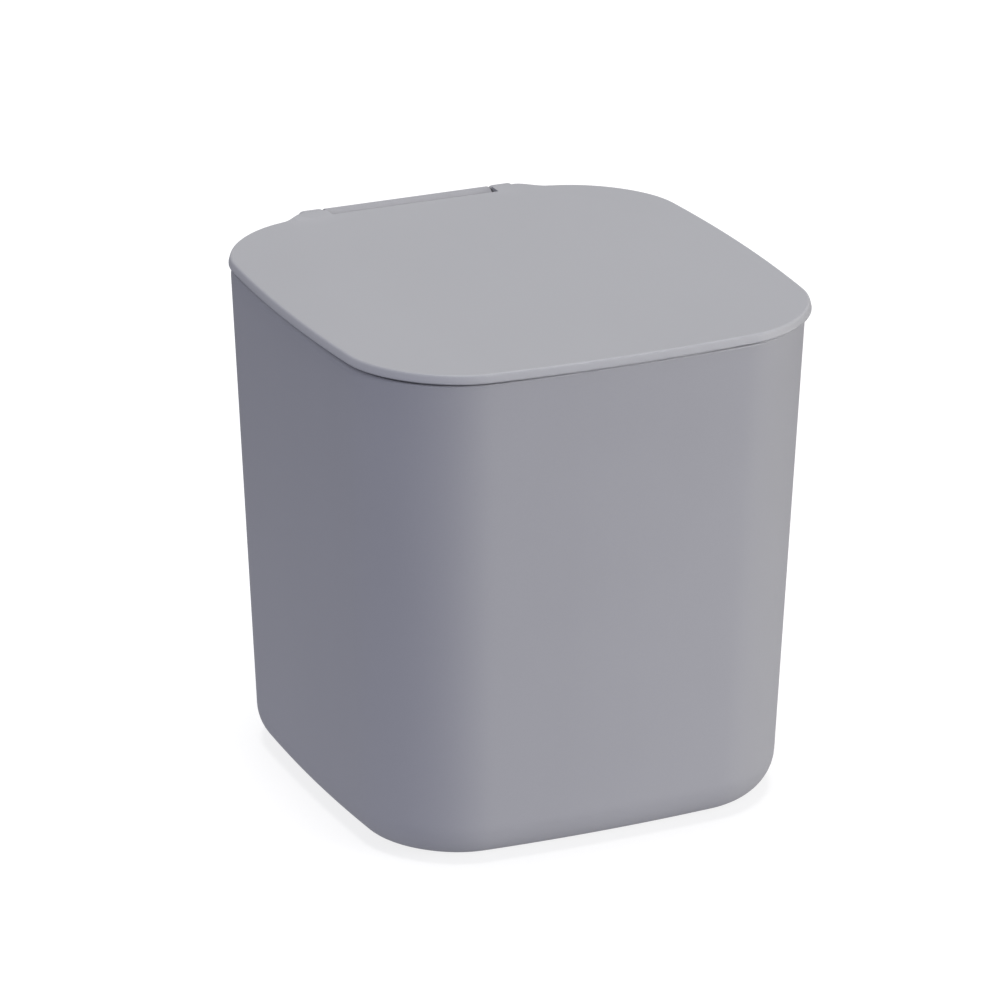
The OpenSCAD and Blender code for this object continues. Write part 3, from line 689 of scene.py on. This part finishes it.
# the small CAD parts keep their shapes, with their edges broken and their own finishes
for node, mat, edge in (("striker", M_WHITE, 0.18), ("hinge_pin", M_STEEL, 0.0), ("latch_housing", M_DARK, 0.2),
                        ("latch_screws", M_STEEL, 0.06), ("latch_plunger", M_WHITE, 0.12), ("jaw_left", M_DARK, 0.12),
                        ("jaw_right", M_DARK, 0.12), ("jaw_pins", M_STEEL, 0.06), ("cam_pin", M_SPRING, 0.0),
                        ("latch_clip", M_CLIP, 0.05), ("foot_front_left", M_PAD, 0.0), ("foot_front_right", M_PAD, 0.0),
                        ("foot_rear_left", M_PAD, 0.0), ("foot_rear_right", M_PAD, 0.0)):
    o = NODES[node]
    if not o.data.materials:
        o.data.materials.append(mat)
    for i in range(len(o.data.materials)):
        o.data.materials[i] = mat
    if edge:
        b = o.modifiers.new("edges", "BEVEL")
        b.width, b.segments, b.limit_method, b.angle_limit = edge * MM, 2, "ANGLE", math.radians(35)
        b.use_clamp_overlap = True
        b.harden_normals = False

# ------------------------------------------------------------------ floor, light, camera
def plane(name, size, z, mat, hole=0.0):
    me = bpy.data.meshes.new(name)
    s = size
    me.from_pydata([(-s, -s, z), (s, -s, z), (s, s, z), (-s, s, z)], [], [(0, 1, 2, 3)])
    o = bpy.data.objects.new(name, me)
    bpy.context.scene.collection.objects.link(o)
    me.materials.append(mat)
    return o


def floor_material(name, albedo, glow):
    m, t, b = node_tree(name)
    g = Graph(t)
    tone = g.ramp(g.noise(3.0, 2.0, 0.5), 0.3, 0.7, 0.995, 1.005)
    t.links.new(g.scale_colour((albedo, albedo, albedo), tone), b.inputs["Base Color"])
    b.inputs["Roughness"].default_value = 0.9
    b.inputs["Specular IOR Level"].default_value = 0.1
    b.inputs["Emission Color"].default_value = (1, 1, 1, 1)
    b.inputs["Emission Strength"].default_value = glow
    return m


floor = plane("floor", 6.0, 0.0, floor_material("floor_paper", 0.28, 0.78))
floor.visible_diffuse = False
floor.visible_glossy = False


def glow_pool_material(name, albedo, glow, tint, near, far):
    """Paper with a painted pool of light: it glows brightest round the object, and the glow falls off with distance."""
    m, t, b = node_tree(name)
    g = Graph(t)
    n = t.nodes.new("ShaderNodeVectorMath")
    n.operation = "LENGTH"
    t.links.new(g.co, n.inputs[0])
    fall = g.ramp(n.outputs["Value"], near, far, glow, glow * 0.12)
    t.links.new(fall, b.inputs["Emission Strength"])
    b.inputs["Base Color"].default_value = (albedo, albedo, albedo, 1)
    b.inputs["Emission Color"].default_value = tint
    b.inputs["Roughness"].default_value = 0.9
    b.inputs["Specular IOR Level"].default_value = 0.1
    return m


# a sheet under the floor, hidden from the camera, whose glow is painted light thrown back onto the object's lower walls
# and reflected in them
under = plane("floor_under", 6.0, -0.0004, glow_pool_material("floor_painted_glow", 0.50, 0.31, (0.96, 0.96, 1.03, 1), 0.16, 0.42))
under.visible_camera = False

world = bpy.data.worlds.new("studio")
bpy.context.scene.world = world
world.use_nodes = True
bg = world.node_tree.nodes["Background"]
bg.inputs["Color"].default_value = (0.93, 0.95, 1.12, 1.0)
bg.inputs["Strength"].default_value = 0.235


def area(name, loc, target, sx, sy, power, colour=(1, 1, 1)):
    d = bpy.data.lights.new(name, "AREA")
    d.shape, d.size, d.size_y, d.energy, d.color = "RECTANGLE", sx, sy, power, colour
    o = bpy.data.objects.new(name, d)
    o.location = loc
    o.rotation_euler = (Vector(target) - Vector(loc)).to_track_quat("-Z", "Y").to_euler()
    bpy.context.scene.collection.objects.link(o)
    return o


area("key_softbox", (1.38, -1.25, 0.36), (0, 0, 0.06), 1.1, 0.6, 28.0, (1.0, 0.985, 0.955))
area("fill_softbox", (-1.28, -0.98, 0.34), (0, 0, 0.06), 1.0, 0.6, 7.9, (0.93, 0.95, 1.17))
area("back_wall", (0.0, 2.0, 0.9), (0.0, 0, 0.5), 4.0, 1.8, 12)
top = bpy.data.lights.new("top_softbox", "SUN")
top.energy, top.angle, top.color = 2.42, math.radians(24), (1.0, 0.99, 0.975)
top_o = bpy.data.objects.new("top_softbox", top)
top_o.location = (0, 0, 2)
bpy.context.scene.collection.objects.link(top_o)

cam = bpy.data.cameras.new("camera")
cam_o = bpy.data.objects.new("camera", cam)
bpy.context.scene.collection.objects.link(cam_o)
az, el, roll, dist = math.radians(-24.504), math.radians(21.382), math.radians(0.219), 1.369192
back = Vector((math.sin(az) * math.cos(el), -math.cos(az) * math.cos(el), math.sin(el)))
right = Vector((math.cos(az), math.sin(az), 0))
up = back.cross(right)
c, s = math.cos(roll), math.sin(roll)
r2 = right * c + up * s
u2 = up * c - right * s
rot = Matrix((r2, u2, back)).transposed()
cam_o.location = Vector((0, -MID_Y * MM, 0.060)) + back * dist
cam_o.rotation_mode = "QUATERNION"
cam_o.rotation_quaternion = rot.to_quaternion()
cam.sensor_width = 36.0
cam.lens = 5927.542 / 1000 * 36.0
cam.shift_x, cam.shift_y = -0.014163, 0.019962
cam.clip_start, cam.clip_end = 0.05, 50
bpy.context.scene.camera = cam_o
bpy.context.scene.view_settings.view_transform = "Standard"
bpy.context.scene.view_settings.look = "None"
